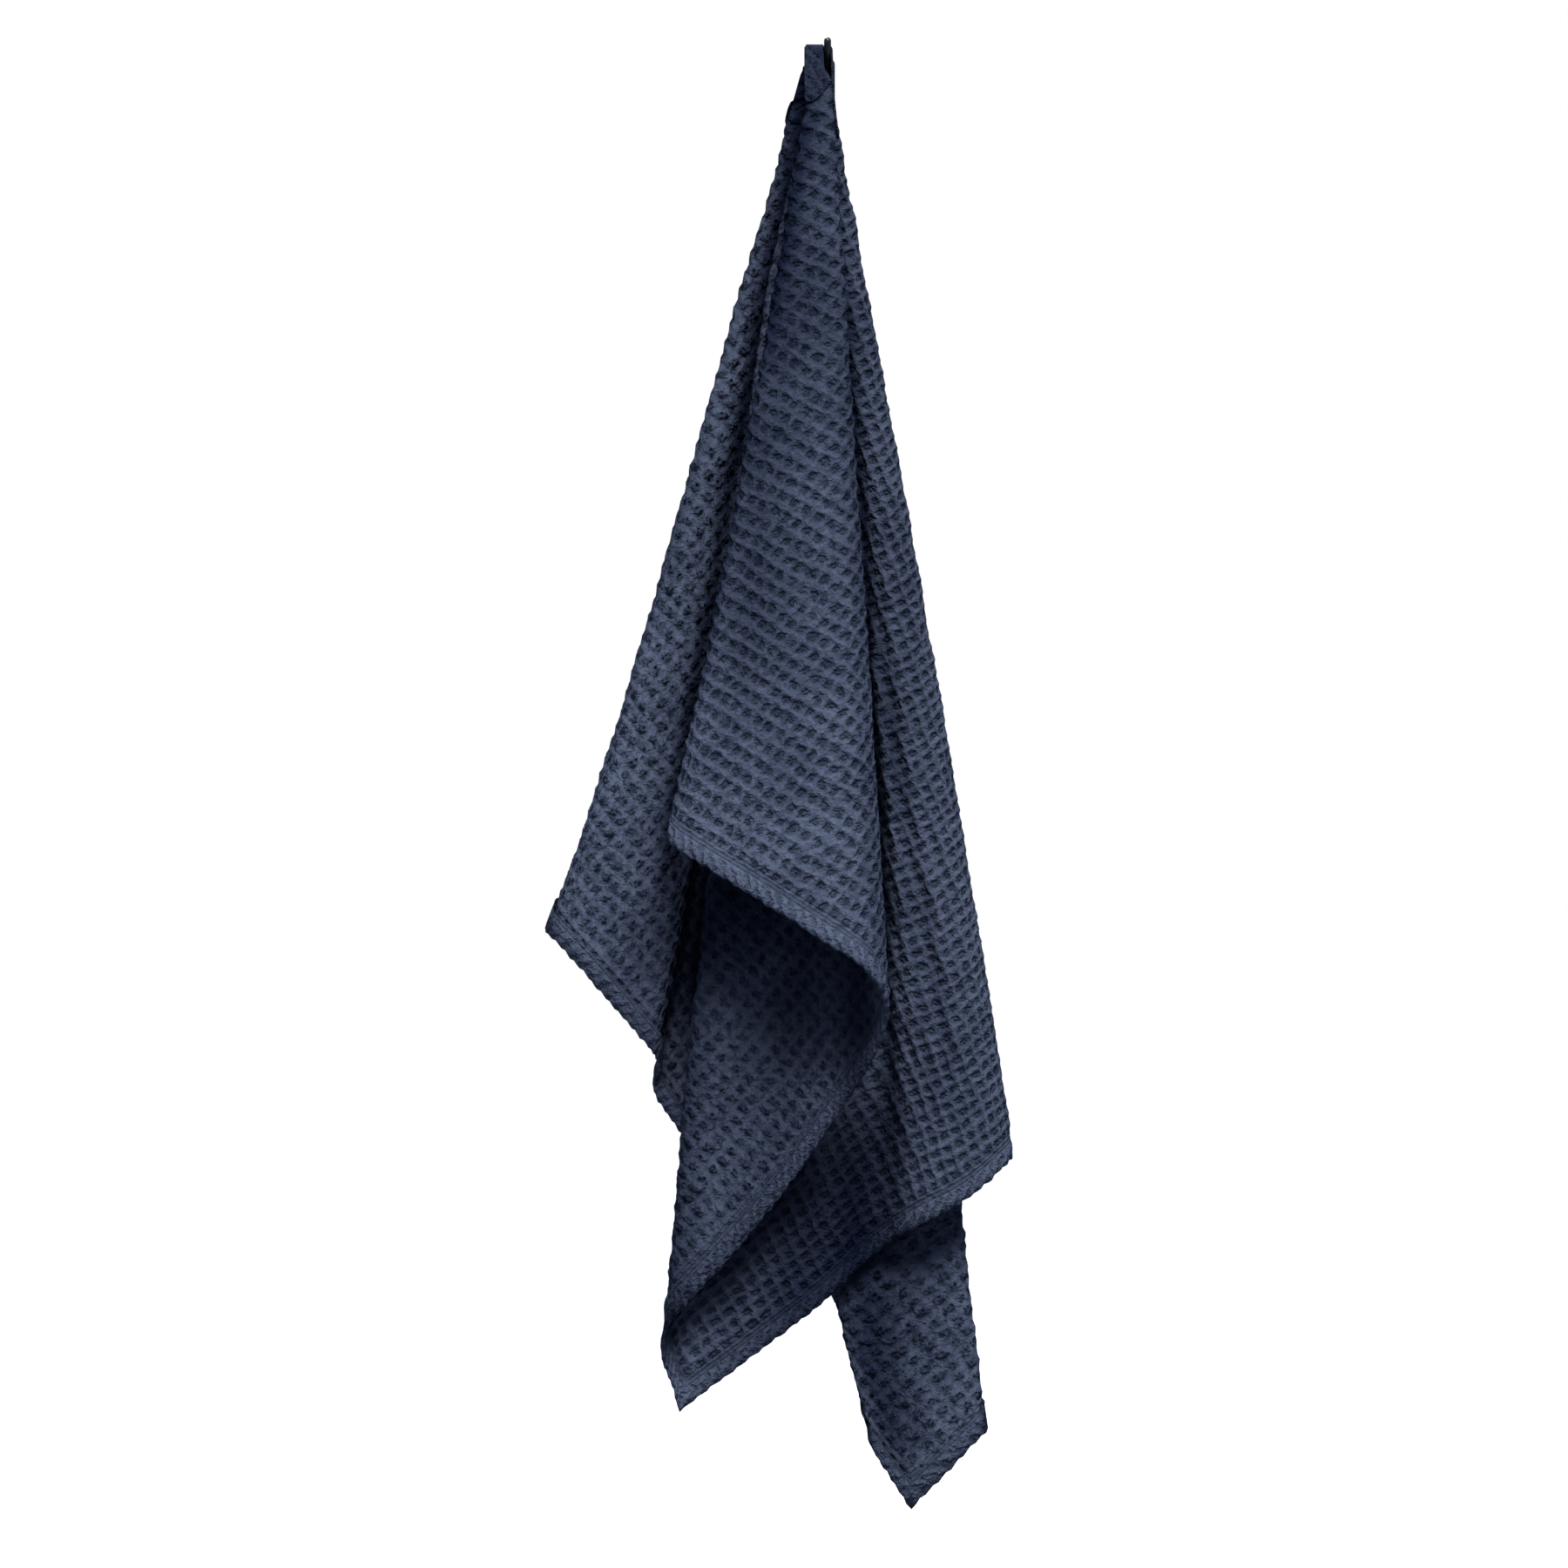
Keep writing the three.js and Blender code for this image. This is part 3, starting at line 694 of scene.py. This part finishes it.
class Amount:
    """A shader socket that can be added to, multiplied and so on, which makes Math nodes."""

    def __init__(self, finish, socket):
        self.finish = finish
        self.socket = socket

    def __add__(self, other):
        return self.finish.maths("ADD", self, other)

    __radd__ = __add__

    def __mul__(self, other):
        return self.finish.maths("MULTIPLY", self, other)

    __rmul__ = __mul__

    def __sub__(self, other):
        return self.finish.maths("SUBTRACT", self, other)

    def __rsub__(self, other):
        return self.finish.maths("SUBTRACT", other, self)

    def step(self, low, high):
        """0 below low, 1 above high and soft between."""
        inputs = {"Value": self, "From Min": low, "From Max": high}
        return self.finish.node("MapRange", {"interpolation_type": "SMOOTHSTEP"}, inputs)


class Finish:
    """A material or a world, and the nodes that make it."""

    def __init__(self, holder, shader):
        holder.use_nodes = True
        self.holder = holder
        self.tree = holder.node_tree
        self.shader = self.tree.nodes[shader]

    def join(self, value, socket):
        """Links an amount to a socket, or sets the socket's own value."""
        if isinstance(value, Amount):
            self.tree.links.new(value.socket, socket)
        else:
            socket.default_value = value

    def node(self, kind, settings, inputs, output=0):
        """A node of a kind: its settings first, then the values or links of its sockets."""
        made = self.tree.nodes.new("ShaderNode" + kind)
        for name, value in settings.items():
            setattr(made, name, value)
        for name, value in inputs.items():
            self.join(value, made.inputs[name])
        return Amount(self, made.outputs[output])

    def maths(self, operation, *values):
        return self.node("Math", {"operation": operation}, dict(enumerate(values)))

    def attribute(self, name, output):
        return self.node("Attribute", {"attribute_name": name}, {}, output)

    def axis(self, vector, letter):
        return self.node("SeparateXYZ", {}, {"Vector": vector}, letter)

    def place(self):
        return self.node("TexCoord", {}, {}, "Object")

    def noise(self, place, scale, detail, roughness):
        inputs = {"Vector": place, "Scale": scale, "Detail": detail, "Roughness": roughness}
        return self.node("TexNoise", {}, inputs)

    def blend(self, share, first, second):
        """A colour between two colours."""
        inputs = {MIX_SHARE: share, MIX_FIRST: first, MIX_SECOND: second}
        return self.node("Mix", {"data_type": "RGBA"}, inputs, MIX_COLOUR)

    def bump(self, strength, distance, height):
        inputs = {"Strength": strength, "Distance": distance, "Height": height}
        return self.node("Bump", {}, inputs)

    def set(self, **values):
        """Values or links of the shader's own sockets, with _ for a space in a name."""
        for name, value in values.items():
            self.join(value, self.shader.inputs[name.replace("_", " ")])


def new_finish(name):
    """A new material with an ordinary surface."""
    return Finish(bpy.data.materials.new(name), "Principled BSDF")


# The cotton's colours: painted shade in the cells' hollows and other recesses, painted shade in the
# deepest folds, and the new and the worn cloth
PAINTED_RECESS_SHADE = (0.004, 0.007, 0.017, 1)
PAINTED_SHADE_SLATE = (0.0005, 0.0022, 0.010, 1)
SLATE = (0.033, 0.042, 0.067, 1)
WORN_SLATE = (0.073, 0.089, 0.134, 1)

# The cotton's noises: scale, detail and roughness
WANDER_ACROSS = (85, 3, 0.65)
WANDER_ALONG = (104, 3, 0.65)
CRINKLE = (125, 3, 0.6)
PUCKER = (270, 2, 0.5)
FUZZ = (900, 2, 0.6)
WASH = (14, 3, 0.55)

# How many cells the weave wanders by, and how sharp its ridges are
WANDER = 0.9
RIDGE_SHARPNESS = 3.0
# Stitch lines above the hem band: how close they are, in radians for each millimetre
GROOVE_PITCH = 1.9


def waffle_cotton():
    """Stone-washed slate blue cotton: painted shade in its cells and folds, paler on worn ridges
    and hems.
    """
    cotton = new_finish("waffle_cotton")
    weave = cotton.attribute("weave", "Vector")
    painted_shade = cotton.attribute("painted_shade", "Fac")
    place = cotton.place()
    crinkle = cotton.noise(place, *CRINKLE)
    pucker = cotton.noise(place, *PUCKER)
    fuzz = cotton.noise(place, *FUZZ)
    wash = cotton.noise(place, *WASH)
    across = cotton.axis(weave, "X") + (cotton.noise(place, *WANDER_ACROSS) - 0.5) * WANDER
    along = cotton.axis(weave, "Y") + (cotton.noise(place, *WANDER_ALONG) - 0.5) * WANDER
    edge = cotton.axis(weave, "Z")
    # Where one face has a ridge, the other has a hollow
    reverse = cotton.node("NewGeometry", {}, {}, "Backfacing") * 0.5
    rise_across = cotton.maths("COSINE", (across + reverse) * FULL_TURN) * 0.5 + 0.5
    rise_along = cotton.maths("COSINE", (along + reverse) * FULL_TURN) * 0.5 + 0.5

    # The waffle field, and its hollows from their rims to their middles
    field = edge.step(HEM + 0.5, HEM + 4)
    hollow = (1 - rise_across) * (1 - rise_along) + (pucker - 0.5) * 0.5
    well = hollow.step(0.02, 0.8) * field
    # The middles of the hollows, where shade is painted
    hollow_painted_shade = hollow.step(0.42, 0.85) * field
    bead = hollow.step(0.78, 1.05) * field
    ridge = cotton.maths("POWER", rise_along, RIDGE_SHARPNESS) * field
    rib = cotton.maths("POWER", rise_across, RIDGE_SHARPNESS) * field

    # Plain woven lines and stitches between the hem band and the waffle
    border = edge.step(HEM - 3.5, HEM - 2) * (1 - edge.step(HEM + 4, HEM + 6))
    grooves = cotton.maths("COSINE", (edge + crinkle * 1.5) * GROOVE_PITCH)
    grooves = grooves.step(0.1, 0.9) * border
    # Slanting gathers over the band, one to a cell, counted along whichever way the hem runs
    slant = across + along + crinkle * 1.1 + edge * 0.012
    gathers = (cotton.maths("SINE", slant * FULL_TURN) + (pucker - 0.5) * 3).step(-1.0, 0.5)
    gathers = gathers * (1 - edge.step(HEM - 4, HEM - 2))

    mottle = (wash * 0.3 + crinkle * 0.4 + pucker * 0.3).step(0.38, 0.62)
    # Painted shade in the band's dips between its gathers and in the stitch grooves
    painted_sunk_shade = (1 - field) * (1 - gathers) * 0.22 + grooves * 0.18
    body = cotton.blend(mottle, SLATE, WORN_SLATE)
    body = cotton.blend((1 - field) * (0.35 + gathers * 0.6), body, WORN_SLATE)
    body = cotton.blend(ridge * 0.25, body, WORN_SLATE)
    # Painted shade in the middle of each cell's hollow, then in the band's dips and grooves
    body = cotton.blend(hollow_painted_shade * 0.5, body, PAINTED_RECESS_SHADE)
    body = cotton.blend(painted_sunk_shade, body, PAINTED_RECESS_SHADE)
    # Painted shade in the folds, under the flap and over the band on the peg
    body = cotton.blend(painted_shade, body, PAINTED_SHADE_SLATE)

    # Heights in millimetres
    height = ridge * 0.8 + rib * 0.5 - well * 2.1 + bead * 1.0
    height = height + crinkle * 3.4 + pucker * 2.0 + fuzz * 0.4
    height = height + gathers * 1.0 - grooves * 0.7
    normal = cotton.bump(1.0, MM, height)
    cotton.set(Base_Color=body, Roughness=0.93 - fuzz * 0.08, Normal=normal)
    cotton.set(Specular_IOR_Level=0.0)
    return cotton.holder


# The hook's paint and where it is rubbed, and the paint's noises: scale, detail and roughness
BLACK = (0.012, 0.012, 0.013, 1)
RUBBED_BLACK = (0.035, 0.035, 0.037, 1)
ORANGE_PEEL = (700, 2, 0.5)
RUBBING = (120, 4, 0.6)


def black_paint():
    """Satin black paint on steel, with faint orange peel and a little wear."""
    paint = new_finish("black_paint")
    place = paint.place()
    rub = paint.noise(place, *RUBBING)
    worn = rub.step(0.6, 0.85)
    normal = paint.bump(0.25, 0.2 * MM, paint.noise(place, *ORANGE_PEEL))
    body = paint.blend(worn * 0.5, BLACK, RUBBED_BLACK)
    paint.set(Base_Color=body, Roughness=0.34 + rub * 0.18, Normal=normal)
    paint.set(Coat_Weight=0.25, Coat_Roughness=0.2)
    return paint.holder


# Studio colours, each as it lights the towel and as it is looked at
FLOOR_GLOW = ((0, 0, 0, 1), (1, 1, 1, 1))
FLOOR_BODY = ((0.12, 0.13, 0.16, 1), (0.93, 0.93, 0.93, 1))
SURROUND = ((0.018, 0.055, 0.15, 1), (1, 1, 1, 1))


def bright_to_the_eye(studio, unseen, seen):
    """A colour that is one for what is looked at and another for the light it gives the towel."""
    return studio.blend(studio.node("LightPath", {}, {}, "Is Camera Ray"), unseen, seen)


def studio_white():
    """The pale floor's finish."""
    white = new_finish("studio_white")
    glow = bright_to_the_eye(white, *FLOOR_GLOW)
    body = bright_to_the_eye(white, *FLOOR_BODY)
    white.set(Base_Color=body, Roughness=0.9, Emission_Color=glow, Emission_Strength=1.0)
    return white.holder


# ---------------------------------------------------------------- the towel and the hook

towel_mesh = hung_towel(flat_towel())
add_saddle(towel_mesh)
add_band(towel_mesh)
towel = piece_of("bath_towel", towel_mesh, waffle_cotton())
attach(towel, "root")
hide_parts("towel")

hook = hook_piece(black_paint())
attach(hook, "root")
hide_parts("wall_hook")

# ---------------------------------------------------------------- camera, floor and light

# In metres, apart from the camera's own sensor and lens. The camera faces the towel straight on,
# from far off.
SENSOR_WIDTH = 36
FRAME_SIDE = 1.238
FRAME_CENTRE = (-0.0345, -0.5535)
TOWEL_PLANE = -0.1
CAMERA_DISTANCE = 14.0
FLOOR_Z = -1.36
FLOOR_REACH = 40
FLOOR_SQUARES = 12

# Each light's place, what it looks at, its width and height, and its power in watts
LIGHTS = {
    "key": ((1.25, -4.4, 5.9), (0, -0.1, -0.6), 4.8, 3.4, 1270),
    "fill": ((-3.9, -2.6, 0.6), (0, -0.1, -0.6), 2.4, 2.4, 22),
    "back": ((-1.8, 6.6, 4.6), (0, 0, -0.6), 3.0, 3.0, 700),
}


def add_camera():
    """The camera at the photograph's angle, with the photograph's frame."""
    data = bpy.data.cameras.new("camera")
    data.sensor_width = SENSOR_WIDTH
    data.lens = SENSOR_WIDTH * CAMERA_DISTANCE / FRAME_SIDE
    camera = bpy.data.objects.new("camera", data)
    camera.location = (FRAME_CENTRE[0], TOWEL_PLANE - CAMERA_DISTANCE, FRAME_CENTRE[1])
    camera.rotation_euler = (math.pi / 2, 0, 0)
    bpy.context.scene.collection.objects.link(camera)
    bpy.context.scene.camera = camera


def pale_floor():
    """A wide flat floor below the towel."""
    bm = bmesh.new()
    squares = {"x_segments": FLOOR_SQUARES, "y_segments": FLOOR_SQUARES}
    bmesh.ops.create_grid(bm, size=FLOOR_REACH, **squares)
    bmesh.ops.translate(bm, vec=(0, 0, FLOOR_Z), verts=bm.verts)
    return piece_of("floor", bm, studio_white())


def soft_light(name, place, aim, wide, high, power):
    """A rectangular light that looks at a point."""
    data = bpy.data.lights.new(name, "AREA")
    data.shape = "RECTANGLE"
    data.size = wide
    data.size_y = high
    data.energy = power
    light = bpy.data.objects.new(name, data)
    light.location = place
    light.rotation_euler = (Vector(aim) - Vector(place)).to_track_quat("-Z", "Y").to_euler()
    bpy.context.scene.collection.objects.link(light)


def add_surround():
    """The world's light, and the white that is seen round the towel."""
    world = bpy.data.worlds.new("studio")
    surround = Finish(world, "Background")
    surround.set(Color=bright_to_the_eye(surround, *SURROUND))
    bpy.context.scene.world = world


add_camera()
pale_floor()
for name, settings in LIGHTS.items():
    soft_light(name, *settings)
add_surround()
bpy.context.scene.view_settings.view_transform = "Standard"
